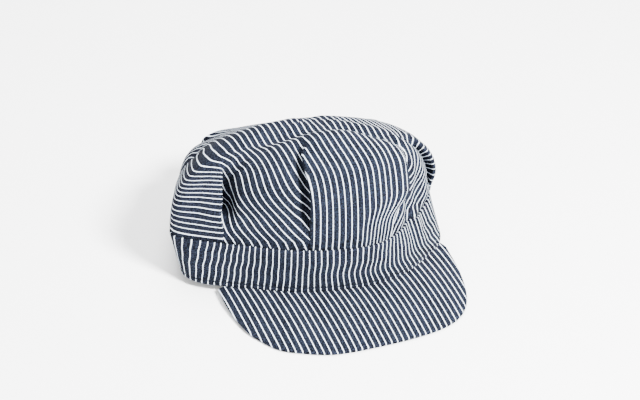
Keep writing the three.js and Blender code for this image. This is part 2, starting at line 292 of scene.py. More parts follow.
# Roundness of the visor's rim: its radius, and the share of the thickness left at the very edge
RIM_RADIUS = 1.6
RIM_SHARE = 0.25

# Heights of the band's rows, closest at its lower edge and at the groove of the topstitching
BAND_ROWS = [
    0, 0.25, 0.8, 1.6, 2.3, 2.8, 3.2, 3.6, 4.1, 4.8, 6, 8,
    10.5, 13, 16, 19, 22, 25, 28, 31, 33.5, 35.2, 36.1, BAND_HEIGHT,
]

# Thickness at the band's two edges: share left at the edge, and distance from it where it is in full
LOWER_EDGE = (0.55, 0.9)
UPPER_EDGE = (0.6, 0.8)

# Topstitching and the groove that it lies in
STITCH_LENGTH = 2.6
STITCH_STEP = 3.4
STITCH_HEIGHT = 3.4
STITCH_RADIUS = 0.42
STITCH_RINGS = 5
STITCH_SIDES = 6
STITCH_SINK = 0.65
STITCH_RISE = 0.6
STITCH_ARCH = 0.6
STITCH_END = 0.55
GROOVE_DEPTH = 0.6
GROOVE_WIDTH = 0.8

# Denim: colours from dark to light, soft edge and unevenness of a stripe in millimetres, pitch of the
# two diagonals of the weave, and how far the stripes of each piece are shifted
BLUE_DARK = (0.0002, 0.0003, 0.0008, 1)
BLUE_LIGHT = (0.0138, 0.0172, 0.0295, 1)
WHITE_DARK = (0.66, 0.76, 0.9, 1)
WHITE_LIGHT = (0.88, 0.94, 1.0, 1)
STRIPE_BLUR = 0.3
STRIPE_WOBBLE = 0.5
WARP_PITCH = 0.95
WEFT_PITCH = 1.7
STRIPE_SHIFT = STRIPE_PITCH / 2
BAND_STRIPE_SHIFT = STRIPE_PITCH / 2 - 3.8

# Noise of the denim, in patches per millimetre: along a stripe's edge, between threads, and worn patches
FUZZ_SCALE = 1.1
SPECK_SCALE = 0.85
SPECK_DETAIL = 3.0
SPECK_ROUGHNESS = 0.75
PATCH_SCALE = 0.06

# Share of each pattern in the brightness of the denim, and in its relief
SPECK_TONE = 5.0
TONE_START = -2.1
WARP_TONE = 0.08
PATCH_TONE = 0.4
WARP_RELIEF = 0.35
WEFT_RELIEF = 0.15
SPECK_RELIEF = 1.2
STRIPE_RELIEF = 0.5

# Relief in metres, and how rough and shiny the cloth is
DENIM_BUMP = 0.00018
DENIM_BUMP_STRENGTH = 0.35
DENIM_ROUGHNESS = 0.93
ROUGHNESS_FALL = 0.08
DENIM_SPECULAR = 0.04

# Thread: colours, noise in patches per metre, relief in metres
THREAD_DARK = (0.0005, 0.0007, 0.0015, 1)
THREAD_LIGHT = (0.006, 0.008, 0.013, 1)
THREAD_SCALE = 2500.0
THREAD_BUMP = 0.0001
THREAD_BUMP_STRENGTH = 0.4
THREAD_ROUGHNESS = 0.8
THREAD_SPECULAR = 0.05

# Floor: half its width in metres
FLOOR_REACH = 3.0
FLOOR_COLOUR = (0.95, 0.95, 0.95, 1)
FLOOR_ROUGHNESS = 0.9

# Lights: name, place in metres, size in metres and power in watts, all turned to one target
LIGHTS = [
    ("key", (0.48, -1.0, 1.3), 0.5, 195),
    ("fill", (-1.3, -0.9, 0.9), 1.2, 22),
    ("top", (0.1, 0.5, 1.7), 1.2, 70),
]
LIGHT_TARGET = (0, 0, 0.05)
WORLD_COLOUR = (1, 1, 1, 1)
WORLD_STRENGTH = 1.0

# Camera fitted to the photo: azimuth, elevation and roll in degrees from the band's level, distance
# in millimetres, image scale in pixels per millimetre, and the image place of the band's origin
CAMERA_AZIMUTH = -25.23
CAMERA_ELEVATION = 33.64
CAMERA_ROLL = -3.05
CAMERA_DISTANCE = 1416.0
CAMERA_SCALE = 1.2458
CAMERA_CENTRE = (308.05, 212.83)
CAMERA_SENSOR = 36.0
CAMERA_NEAR = 0.05
CAMERA_FAR = 20.0
IMAGE_WIDTH = 640.0
IMAGE_HEIGHT = 400.0


def smooth(low, high, value):
    t = np.clip((np.asarray(value, float) - low) / (high - low), 0.0, 1.0)
    return t * t * (3 - 2 * t)


def bell(offset, width):
    return np.exp(-(np.asarray(offset, float) / width) ** 2)


def column(rows, names, name):
    return np.array([row[names.index(name)] for row in rows], float)


def read_table(keys, values, x, period=0.0):
    """Smooth value of a table at x; a period closes the table into a loop."""
    keys = np.asarray(keys, float)
    values = np.asarray(values, float)
    x = np.asarray(x, float)
    if period:
        keys = np.concatenate([keys[-2:] - period, keys, keys[:3] + period])
        values = np.concatenate([values[-2:], values, values[:3]])
        x = (x - keys[2]) % period + keys[2]
    slopes = np.empty_like(values)
    slopes[1:-1] = (values[2:] - values[:-2]) / (keys[2:] - keys[:-2])
    slopes[0] = (values[1] - values[0]) / (keys[1] - keys[0])
    slopes[-1] = (values[-1] - values[-2]) / (keys[-1] - keys[-2])
    i = np.clip(np.searchsorted(keys, x, side="right") - 1, 0, len(keys) - 2)
    span = keys[i + 1] - keys[i]
    t = np.clip((x - keys[i]) / span, 0, 1)
    h00 = 2 * t**3 - 3 * t**2 + 1
    h10 = t**3 - 2 * t**2 + t
    h01 = 3 * t**2 - 2 * t**3
    h11 = t**3 - t**2
    return h00 * values[i] + h10 * span * slopes[i] + h01 * values[i + 1] + h11 * span * slopes[i + 1]


def closed_spline(points, samples):
    """Points of the smooth closed curve through the rows."""
    points = np.asarray(points, float)
    n = len(points)
    steps = np.roll(points[:, :2], -1, 0) - points[:, :2]
    knots = np.concatenate([[0], np.cumsum(np.linalg.norm(steps, axis=1) ** 0.5)])
    h = np.diff(knots)
    matrix = np.zeros((n, n))
    right = np.zeros((n, points.shape[1]))
    for i in range(n):
        before, after = h[i - 1], h[i]
        matrix[i, i - 1] += before
        matrix[i, i] += 2 * (before + after)
        matrix[i, (i + 1) % n] += after
        right[i] = 6 * ((points[(i + 1) % n] - points[i]) / after - (points[i] - points[i - 1]) / before)
    bend = np.linalg.solve(matrix, right)
    x = np.linspace(0, knots[-1], samples)
    i = np.clip(np.searchsorted(knots, x, side="right") - 1, 0, n - 1)
    j = (i + 1) % n
    a = (knots[i + 1] - x)[:, None]
    b = (x - knots[i])[:, None]
    s = h[i][:, None]
    return (
        bend[i] * a**3 / (6 * s)
        + bend[j] * b**3 / (6 * s)
        + (points[i] / s - bend[i] * s / 6) * a
        + (points[j] / s - bend[j] * s / 6) * b
    )


# The band's two plan curves, read by distance along the lower edge
plan_curve = closed_spline(PLAN, PLAN_SAMPLES)
plan_steps = np.linalg.norm(np.diff(plan_curve[:, :2], axis=0), axis=1)
plan_distance = np.concatenate([[0], np.cumsum(plan_steps)])
BAND_LENGTH = plan_distance[-1]
plan_tangent = np.gradient(plan_curve[:, :2], axis=0)
plan_tangent /= np.linalg.norm(plan_tangent, axis=1, keepdims=True)


def along_plan(distance, pair):
    """Two columns of values along the lower edge, read at a distance."""
    return np.stack([np.interp(distance, plan_distance, pair[:, k]) for k in range(2)], -1)


def plan_at(distance):
    """Lower edge, upper edge and outward direction of the band's plan."""
    d = np.asarray(distance, float) % BAND_LENGTH
    low = along_plan(d, plan_curve[:, :2])
    top = along_plan(d, plan_curve[:, 2:])
    tangent = along_plan(d, plan_tangent)
    out = np.stack([tangent[..., 1], -tangent[..., 0]], -1)
    out /= np.linalg.norm(out, axis=-1, keepdims=True)
    return low, top, out


def short_way(distance, at):
    """How far a distance lies from a place on the band, by the shorter way round."""
    offset = np.asarray(distance, float) - at
    return offset - BAND_LENGTH * np.round(offset / BAND_LENGTH)


def band_point(distance, height, extra):
    """Points of the band's middle surface, pushed out by extra."""
    distance, height, extra = np.broadcast_arrays(
        np.asarray(distance, float), np.asarray(height, float), np.asarray(extra, float)
    )
    low, top, out = plan_at(distance)
    share = height / BAND_HEIGHT
    push = extra.copy()
    for at, wide, depth in RIPPLES:
        push += depth * bell(short_way(distance, at), wide) * smooth(0, 1, share)
    xy = low + (top - low) * share[..., None] + out * push[..., None]
    return np.concatenate([xy, height[..., None]], -1)


def section(name, distance):
    """One column of the crown's outline table, read by distance round the band."""
    share = (distance / BAND_LENGTH) % 1.0
    shares = column(SECTIONS, SECTION_NAMES, "share")
    return read_table(shares, column(SECTIONS, SECTION_NAMES, name), share, 1.0)


def crown_hull(distance, level):
    """The crown without its folds: level runs from the band's top edge (0) to the crown's centre (1)."""
    distance, level = np.broadcast_arrays(np.asarray(distance, float), np.asarray(level, float))
    lean = section("lean", distance)
    rim = section("rim", distance)
    puff = section("puff", distance)
    square = section("square", distance)
    angle = np.clip(level, 0, 1) * math.pi / 2
    across = 1 - np.maximum(0, np.cos(angle)) ** (2 / square)
    rise = np.sin(angle) ** (2 / square)
    out = plan_at(distance)[2]
    base = band_point(distance, BAND_HEIGHT, 0.0)
    base[..., 2] += CROWN_LIFT
    xy = base[..., :2] + (CROWN_TOP[:2] - base[..., :2]) * across[..., None]
    push = -lean * rise * (1 - across) + puff * 4 * rise * (1 - rise) * (1 - across)
    rim_share = 1 - across**2
    shoulder = (rim - base[..., 2]) * rim_share + (CROWN_TOP[2] - base[..., 2]) * (1 - rim_share)
    z = base[..., 2] + rise * shoulder
    for at, height, wide, tall, depth in WALL_DENTS:
        push = push + depth * bell(short_way(distance, at), wide) * bell(z - height, tall) * (1 - across)
    xy = xy + out * push[..., None]
    for x, y, length, breadth, turn, dent in TOP_DENTS:
        c, s = math.cos(math.radians(turn)), math.sin(math.radians(turn))
        along = (xy[..., 0] - x) * c + (xy[..., 1] - y) * s
        aside = -(xy[..., 0] - x) * s + (xy[..., 1] - y) * c
        z = z + dent * bell(along, length) * bell(aside, breadth) * smooth(*DENT_LEVELS, level)
    return np.concatenate([xy, z[..., None]], -1)


def crown_normal(distance, level):
    """Outward direction of the crown without its folds."""
    low = np.maximum(NORMAL_LOW, level - NORMAL_STEP)
    high = np.minimum(NORMAL_HIGH, level + NORMAL_STEP)
    at = np.minimum(level, NORMAL_TOP)
    along = crown_hull(distance + NORMAL_RUN, at) - crown_hull(distance - NORMAL_RUN, at)
    up = crown_hull(distance, high) - crown_hull(distance, low)
    normal = np.cross(along, up)
    return normal / np.maximum(1e-9, np.linalg.norm(normal, axis=-1, keepdims=True))


def fold_state(fold, level):
    """Where one fold lies and how it stands at one level."""
    row = dict(zip(FOLD_NAMES, fold))
    ends = row["ends"]
    low = smooth(0, WAIST_LEVEL, level)
    high = smooth(WAIST_LEVEL, ends, level)
    place = row["foot"] + (row["waist"] - row["foot"]) * low + (row["head"] - row["waist"]) * high
    folded = 1 - smooth(ends - FOLD_FADE, ends, level)
    layered = 1 - smooth(ends - LAYER_FADE, ends + FOLD_SETTLE, level)
    closed = smooth(POCKET_FALL * ends, ends + FOLD_SETTLE / 2, level)
    pocket = smooth(0, POCKET_RISE, level) * (1 - closed)
    drawn_in = smooth(FLARE_FALL * ends, ends + FOLD_SETTLE, level)
    stand_out = smooth(0, FLARE_RISE, level) * (1 - drawn_in)
    taper = 1 - UNDER_TAPER * min(1.0, level / ends)
    widened = smooth(ends + SPREAD_LEVELS[0], ends + SPREAD_LEVELS[1], level)
    spread = FLAT_SPREAD[0] + (FLAT_SPREAD[1] - FLAT_SPREAD[0]) * widened
    valley = VALLEY_WIDTH[0] + (VALLEY_WIDTH[1] - VALLEY_WIDTH[0]) * smooth(0, ends, level)
    return {
        "place": float(place) * BAND_LENGTH / PLEAT_LENGTH,
        "faces": row["faces"],
        "under": row["under"] * taper,
        "ends": ends,
        "folded": float(folded),
        "stand": float(2 * (CROWN_THICK + LAYER_GAP) * layered + row["open"] * pocket),
        "flare": float(row["flare"] * stand_out),
        "roll": float(row["roll"] * stand_out),
        "spread": float(spread),
        "valley": float(valley),
    }


def fold_path(state):
    """One fold from the panel's edge to the cloth beside it: run, depth, run in the cloth and side."""
    turn = (CROWN_THICK + LAYER_GAP) / 2
    under, stand, flare = state["under"], state["stand"], state["flare"]
    inner_turn = max(2 * turn, stand - 2 * turn)
    rows = []

    # The panel's cloth up to the edge
    for step in range(LEAD_STEPS):
        run = turn * (-FOLD_LEAD + FOLD_LEAD / (LEAD_STEPS - 1) * step)
        rows.append((run, -flare, run, 0))

    # The outer edge, then the layer folded under it
    for step in range(TURN_STEPS + 1):
        angle = math.pi * step / TURN_STEPS
        depth = turn * (1 - math.cos(angle)) - flare
        rows.append((turn * math.sin(angle), depth, TURN_CLOTH * step / TURN_STEPS, 0))
    for step in range(1, UNDER_STEPS):
        t = step / UNDER_STEPS
        depth = 2 * turn + (inner_turn - 2 * turn) * t - flare * (1 - t)
        rows.append((-under * t, depth, TURN_CLOTH + under * t, 0))

    # The inner edge, then the cloth beside the fold up to below the outer edge
    for step in range(TURN_STEPS + 1):
        angle = math.pi * step / TURN_STEPS
        depth = inner_turn + (stand - inner_turn) / 2 * (1 - math.cos(angle))
        rows.append((-under - turn * math.sin(angle), depth, -under, 1))
    for step in range(1, BESIDE_STEPS + 1):
        run = -under * (1 - step / BESIDE_STEPS)
        rows.append((run, stand, run, 1))

    # Where the fold has ended its stations lie spread out on the flat cloth
    last = len(rows) - 1
    blended = []
    for place, (run, depth, cloth, side) in enumerate(rows):
        flat = (place / last - 0.5) * state["spread"]
        step_down = -flare + (stand + flare) * float(smooth(0, 1, place / last))
        blended.append((
            run * state["folded"] + flat * (1 - state["folded"]),
            depth * state["folded"] + step_down * (1 - state["folded"]),
            cloth * state["folded"] + flat * (1 - state["folded"]),
            side,
        ))
    return blended


def recover(t, wide):
    """Share of the depth left at t across a panel: a steep part beside the fold, then a soft one."""
    steep = STEEP_SHARE * float(smooth(STEEP_START, STEEP_WIDTH, t))
    return 1 - steep - (1 - STEEP_SHARE) * float(smooth(0, wide, t))


def crown_row(level):
    """Stations round the crown at one level: distance, depth, distance in the cloth and panel number."""
    states = [fold_state(fold, level) for fold in FOLDS]
    stations = []
    count = len(FOLDS)
    for index, state in enumerate(states):
        after = states[(index + 1) % count]
        low_panel, high_panel = index, (index + 1) % count
        rows = []
        for run, depth, cloth, side in fold_path(state):
            if state["faces"] > 0:
                owner = high_panel if side else low_panel
            else:
                owner = low_panel if side else high_panel
            faces = state["faces"]
            rows.append([state["place"] + faces * run, depth, state["place"] + faces * cloth, owner])
        if state["faces"] < 0:
            rows.reverse()
        stations.extend(rows)
        start = rows[-1]
        ahead = fold_path(after)
        first = ahead[0] if after["faces"] > 0 else ahead[-1]
        end_distance = after["place"] + after["faces"] * first[0]
        span = end_distance - start[0]
        if span < 0:
            span += BAND_LENGTH
        for step in range(1, PANEL_STEPS + 1):
            t = step / (PANEL_STEPS + 1)
            wide_start = state["valley"] if state["faces"] > 0 else PLAIN_WIDTH
            wide_end = after["valley"] if after["faces"] < 0 else PLAIN_WIDTH
            depth = start[1] * recover(t, wide_start) + first[1] * recover(1 - t, wide_end)
            if state["faces"] < 0:
                depth -= state["roll"] * float(bell(t * span - ROLL_PLACE, ROLL_WIDTH))
            if after["faces"] > 0:
                depth -= after["roll"] * float(bell((1 - t) * span - ROLL_PLACE, ROLL_WIDTH))
            distance = start[0] + span * t
            stations.append([distance, depth, distance, high_panel])
    return np.array(stations, float), states


def crown_grid():
    """Middle points of the crown's cloth, row by row, with each point's place in the flat cloth."""
    t = np.arange(1, CROWN_LEVELS + 1) / CROWN_LEVELS
    levels = LEVEL_START + LEVEL_REACH * t**LEVEL_POWER
    rows = [crown_row(level) for level in levels]
    stations = np.array([row[0] for row in rows])
    distance, depth, cloth, owner = (stations[..., i] for i in range(4))
    depth = depth * (SEAM_SQUASH + (1 - SEAM_SQUASH) * smooth(0, SEAM_RISE, levels))[:, None]
    level = np.broadcast_to(levels[:, None], distance.shape)
    points = crown_hull(distance, level) - crown_normal(distance, level) * depth[..., None]
    inside = -BAND_THICK / 2 - TUCK_ROOM - CROWN_THICK / 2
    tucked = []
    for height, push in SEAM_ROWS:
        tucked.append(band_point(distance[0], BAND_HEIGHT + height, push * inside - depth[0]))
    count = len(tucked)
    points = np.concatenate([np.array(tucked), points])
    levels = np.concatenate([np.zeros(count), levels])
    distance, depth, cloth, owner = (
        np.concatenate([np.repeat(a[:1], count, 0), a]) for a in (distance, depth, cloth, owner)
    )
    coords = cloth_coordinates(points, levels, cloth, owner, rows, count)
    return points, coords


def running_length(points, axis):
    """Distance from the start along one axis of a grid of points."""
    steps = np.linalg.norm(np.diff(points, axis=axis), axis=-1)
    start = np.zeros_like(np.take(steps, [0], axis))
    return np.concatenate([start, np.cumsum(steps, axis)], axis)


def cloth_coordinates(points, levels, cloth, owner, rows, tucked):
    """Distance across the stripes and along them, in millimetres, for every point of the crown."""
    count, width = cloth.shape
    panels = len(PANELS)
    dense = np.linspace(0, BAND_LENGTH, HULL_STATIONS)
    centres = column(PANELS, PANEL_NAMES, "centre") * BAND_LENGTH / PLEAT_LENGTH
    angles = np.radians(column(PANELS, PANEL_NAMES, "angle"))
    hull = crown_hull(dense[None, :], np.maximum(levels, LEVEL_START)[:, None])
    rise = running_length(hull, 0)
    around = running_length(hull, 1)
    full = rise[-1] + np.linalg.norm(hull[-1] - CROWN_TOP, axis=-1)

    # The front panel's cloth bunches up where its left edge comes in towards the band
    widest = FOLDS[0][FOLD_NAMES.index("waist")] * BAND_LENGTH / PLEAT_LENGTH

    def gathered(i, d):
        edge = rows[max(0, i - tucked)][1][0]["place"]
        beside = 1 - smooth(0, GATHER_WIDTH, edge - short_way(d, 0.0))
        return GATHER_SHARE * np.maximum(0, widest - edge) * beside

    def in_panel(i, d, k):
        arc = np.interp(d % BAND_LENGTH, dense, around[i])
        s = arc - np.interp(centres[k], dense, around[i])
        if k == 0:
            s = s + gathered(i, d)
        s = s - around[i][-1] * np.round(s / around[i][-1])
        rho = np.interp(centres[k], dense, full) - np.interp(d % BAND_LENGTH, dense, rise[i])
        past = np.maximum(0, SIDE_CORNER - d % BAND_LENGTH)
        sink = SIDE_DROP * past**2 / (past + SIDE_SOFT) * smooth(0, SIDE_FULL, levels[i])
        sink = sink * (k == SIDE_PANEL)
        p = rho * math.cos(angles[k]) - s * math.sin(angles[k]) + sink
        q = rho * math.sin(angles[k]) + s * math.cos(angles[k])
        return np.stack([p, q], -1)

    # Where each fold ends, the cloth of its two panels meets; the difference is shared between them
    at_low = np.zeros((panels, 2))
    at_high = np.zeros((panels, 2))
    for index in range(panels):
        i = tucked + int(np.argmin([abs(level - rows[0][1][index]["ends"]) for level in levels[tucked:]]))
        place = np.array(rows[i - tucked][1][index]["place"])
        low_value = in_panel(i, place, index)
        high_value = in_panel(i, place, (index + 1) % panels)
        at_low[index] = (high_value - low_value) / 2
        at_high[index] = (low_value - high_value) / 2

    result = np.zeros((count, width, 2))
    for i in range(count):
        d = cloth[i]
        level = levels[i]
        states = rows[max(0, i - tucked)][1]
        values = np.zeros((panels, width, 2))
        for k in range(panels):
            before, after = states[k - 1], states[k]
            span = (after["place"] - before["place"]) % BAND_LENGTH
            share = smooth(0, 1, short_way(d, before["place"]) / span)[:, None]
            from_before = at_high[k - 1] * smooth(JOIN_START, 1.0, level / before["ends"])
            from_after = at_low[k] * smooth(JOIN_START, 1.0, level / after["ends"])
            values[k] = in_panel(i, d, k) + from_before * (1 - share) + from_after * share
        mine = owner[i].astype(int)
        value = values[mine, np.arange(width)]
        for index, state in enumerate(states):
            low, high = (state["ends"] + offset for offset in JOIN_LEVELS)
            window = JOIN_WIDTH * float(smooth(low, high, level))
            if window <= 0.01:
                continue
            low_panel, high_panel = index, (index + 1) % panels
            t = short_way(d, state["place"]) / window
            near = (np.abs(t) < 1)[:, None]
            share = smooth(-1, 1, t)[:, None]
            value = np.where(near, values[low_panel] * (1 - share) + values[high_panel] * share, value)
        flat = points[i][:, :2] - CROWN_TOP[:2]
        radius = np.maximum(1e-6, np.linalg.norm(flat, axis=1))
        reach = np.interp(d % BAND_LENGTH, dense, full - rise[i])
        sideways = (flat[:, 0] / radius) ** 2
        top_p = flat[:, 0] * (1 + (reach / radius - 1) * sideways)
        top_q = flat[:, 1] * (1 + (reach / radius - 1) * (1 - sideways))
        top = float(smooth(*TOP_BLEND, level))
        result[i] = value * (1 - top) + np.stack([top_p, top_q], -1) * top
    return result


def to_rest(points):
    """Tilts points from the band's level to the resting position, in metres of the shared frame."""
    c, s = math.cos(REST_PITCH), math.sin(REST_PITCH)
    y = points[..., 1] - REST_HINGE_Y
    z = points[..., 2]
    placed = np.stack([points[..., 0], REST_HINGE_Y + y * c + z * s, -y * s + z * c], -1) + REST_SHIFT
    placed[..., 2] = np.maximum(placed[..., 2], 0.0)
    return placed * 0.001


def grid_normals(grid, loop):
    if loop:
        along = np.roll(grid, -1, 1) - np.roll(grid, 1, 1)
    else:
        along = np.gradient(grid, axis=1)
    up = np.gradient(grid, axis=0)
    normal = np.cross(along, up)
    return normal / np.maximum(1e-9, np.linalg.norm(normal, axis=-1, keepdims=True))


def add_object(name, data):
    made = bpy.data.objects.new(name, data)
    bpy.context.scene.collection.objects.link(made)
    return made


def cloth_mesh(name, grid, coords, thickness, loop, centre=None, centre_coord=None):
    """A closed sheet of cloth from a grid of middle points, with each one's place in the flat cloth."""
    rows, count = grid.shape[:2]
    normals = grid_normals(grid, loop)
    half = np.asarray(thickness, float) / 2
    half = np.broadcast_to(half, (rows, count))[..., None]
    layers = [grid + normals * half, grid - normals * half]
    verts = []
    places = []
    for side, layer in ((1, layers[0]), (-1, layers[1])):
        verts.append(layer.reshape(-1, 3))
        places.append(coords.reshape(-1, 2))
        if centre is not None:
            verts.append((centre + np.array([0, 0, side * float(np.mean(half))])).reshape(1, 3))
            places.append(np.asarray(centre_coord, float).reshape(1, 2))
    verts = np.concatenate(verts)
    places = np.concatenate(places)
    size = rows * count + (0 if centre is None else 1)
    r, c = np.meshgrid(np.arange(rows - 1), np.arange(count if loop else count - 1), indexing="ij")
    r, c = r.ravel(), c.ravel()
    n = (c + 1) % count
    a, b = r * count + c, r * count + n
    d, e = (r + 1) * count + c, (r + 1) * count + n
    faces = [tuple(f) for f in np.stack([a, b, e, d], 1)]
    faces += [tuple(f) for f in np.stack([a, d, e, b], 1) + size]
    last = (rows - 1) * count
    spans = range(count if loop else count - 1)
    for i in spans:
        j = (i + 1) % count
        faces.append((i, i + size, j + size, j))
        if centre is None:
            faces.append((last + i, last + j, last + j + size, last + i + size))
        else:
            faces.append((last + i, last + j, size - 1))
            faces.append((last + i + size, 2 * size - 1, last + j + size))
    if not loop:
        for i in range(rows - 1):
            a, b = i * count, (i + 1) * count
            faces.append((a, b, b + size, a + size))
            a, b = a + count - 1, b + count - 1
            faces.append((a, a + size, b + size, b))
    mesh = bpy.data.meshes.new(name)
    mesh.from_pydata([tuple(v) for v in to_rest(verts)], [], [tuple(int(v) for v in f) for f in faces])
    attribute = mesh.attributes.new("cloth", "FLOAT_VECTOR", "POINT")
    values = np.concatenate([places, np.zeros((len(places), 1))], 1).astype(np.float32)
    attribute.data.foreach_set("vector", values.ravel())
    mesh.shade_smooth()
    mesh.update()
    return add_object(name, mesh)


def thinned(distance, share, reach):
    """Share of the thickness left at a distance from an edge, in full from the reach on."""
    return share + (1 - share) * smooth(0, reach, distance)


def make_crown():
    points, coords = crown_grid()
    centre = points[-1].mean(0)
    return cloth_mesh("crown_cloth", points, coords, CROWN_THICK, True, centre, coords[-1].mean(0))


def make_band():
    """The stand-up strip, a little thinner at both edges, with the groove of its topstitching."""
    heights = np.array(BAND_ROWS)
    distance = np.arange(BAND_STATIONS) * BAND_LENGTH / BAND_STATIONS
    extra = -GROOVE_DEPTH * bell(heights - STITCH_HEIGHT, GROOVE_WIDTH)
    grid = band_point(distance[None, :], heights[:, None], extra[:, None])
    thick = BAND_THICK * thinned(heights, *LOWER_EDGE) * thinned(BAND_HEIGHT - heights, *UPPER_EDGE)
    coords = np.zeros(grid.shape[:2] + (2,))
    across = np.where(distance > BAND_LENGTH / 2, distance - BAND_LENGTH, distance)
    above_low = smooth(0, LEAN_HEIGHTS[0], heights)
    above_middle = smooth(LEAN_HEIGHTS[0], LEAN_HEIGHTS[1], heights)
    above_top = smooth(LEAN_HEIGHTS[1], BAND_HEIGHT, heights)
    share = np.stack([above_low - above_middle, above_middle - above_top, above_top])
    place = np.broadcast_to(across[None, :], coords.shape[:2])
    keys = column(LEAN, LEAN_NAMES, "at")

    # The lean is read at the place that it leads to, so a few rounds bring the two together
    for _ in range(4):
        lean = [read_table(keys, column(LEAN, LEAN_NAMES, name), place) for name in LEAN_NAMES[1:]]
        place = across[None, :] + sum(lean[k] * share[k][:, None] for k in range(3))
    coords[..., 0] = place
    coords[..., 1] = heights[:, None]
    return cloth_mesh("band_cloth", grid, coords, np.broadcast_to(thick[:, None], grid.shape[:2]), True)


def make_visor():
    at = column(VISOR, VISOR_NAMES, "at")
    distance = np.linspace(at[0], at[-1], VISOR_STATIONS)
    edge_x = read_table(at, column(VISOR, VISOR_NAMES, "edge_x"), distance)
    edge_y = read_table(at, column(VISOR, VISOR_NAMES, "edge_y"), distance)
    lift = read_table(at, column(VISOR, VISOR_NAMES, "lift"), distance)
    inner = band_point(distance, 0.0, -SEAM_TUCK)
    seam = band_point(distance, 0.0, BAND_THICK / 2)
    under = -SEAM_GAP - VISOR_THICK / 2
    edge_z = (edge_y - REST_HINGE_Y) * math.tan(REST_PITCH) + lift + VISOR_THICK / 2
    reach = np.hypot(edge_x - seam[:, 0], edge_y - seam[:, 1])
    arch = VISOR_ARCH * np.minimum(1, reach / VISOR_ARCH_REACH)
    t = 1 - np.linspace(0, 1, VISOR_ROWS) ** VISOR_ROW_POWER
    grid = [np.stack([
        seam[:, 0] + (edge_x - seam[:, 0]) * v,
        seam[:, 1] + (edge_y - seam[:, 1]) * v,
        under + (edge_z - under) * v + arch * 4 * v * (1 - v)], -1) for v in t]
    grid.append(np.stack([inner[:, 0], inner[:, 1], np.full(len(distance), under)], -1))
    grid = np.array(grid)
    gap = np.concatenate([(1 - t)[:, None] * reach[None, :], reach[None, :] + SEAM_TUCK])
    roll = np.sqrt(np.clip(1 - (1 - np.clip(gap / RIM_RADIUS, 0, 1)) ** 2, 0, 1))
    thick = VISOR_THICK * (RIM_SHARE + (1 - RIM_SHARE) * roll)
    coords = grid[..., :2].copy()
    return cloth_mesh("visor_cloth", grid, coords, thick, False)


def node(tree, kind, **settings):
    made = tree.nodes.new(kind)
    for key, value in settings.items():
        setattr(made, key, value)
    return made


def math_node(tree, operation, first, second=None, third=None, clamp=False):
    made = node(tree, "ShaderNodeMath", operation=operation, use_clamp=clamp)
    for index, value in enumerate((first, second, third)):
        if value is None:
            continue
        if isinstance(value, (int, float)):
            made.inputs[index].default_value = value
        else:
            tree.links.new(value, made.inputs[index])
    return made.outputs[0]


def mix_colour(tree, factor, first, second):
    made = node(tree, "ShaderNodeMix", data_type="RGBA")
    tree.links.new(factor, made.inputs[0])
    for index, value in ((6, first), (7, second)):
        if isinstance(value, tuple):
            made.inputs[index].default_value = value
        else:
            tree.links.new(value, made.inputs[index])
    return made.outputs[2]


def noise(tree, vector, scale, detail=2.0, roughness=0.5, dimensions="2D"):
    """Brightness of a noise pattern, its scale in patches per unit of the vector."""
    made = node(tree, "ShaderNodeTexNoise", noise_dimensions=dimensions)
    made.inputs["Scale"].default_value = scale
    made.inputs["Detail"].default_value = detail
    made.inputs["Roughness"].default_value = roughness
    tree.links.new(vector, made.inputs["Vector"])
    return made.outputs[0]


def add_bump(tree, shader, height, strength, distance):
    bump = node(tree, "ShaderNodeBump")
    bump.inputs["Strength"].default_value = strength
    bump.inputs["Distance"].default_value = distance
    tree.links.new(height, bump.inputs["Height"])
    tree.links.new(bump.outputs[0], shader.inputs["Normal"])


def new_material(name):
    material = bpy.data.materials.new(name)
    material.use_nodes = True
    return material, material.node_tree, material.node_tree.nodes["Principled BSDF"]


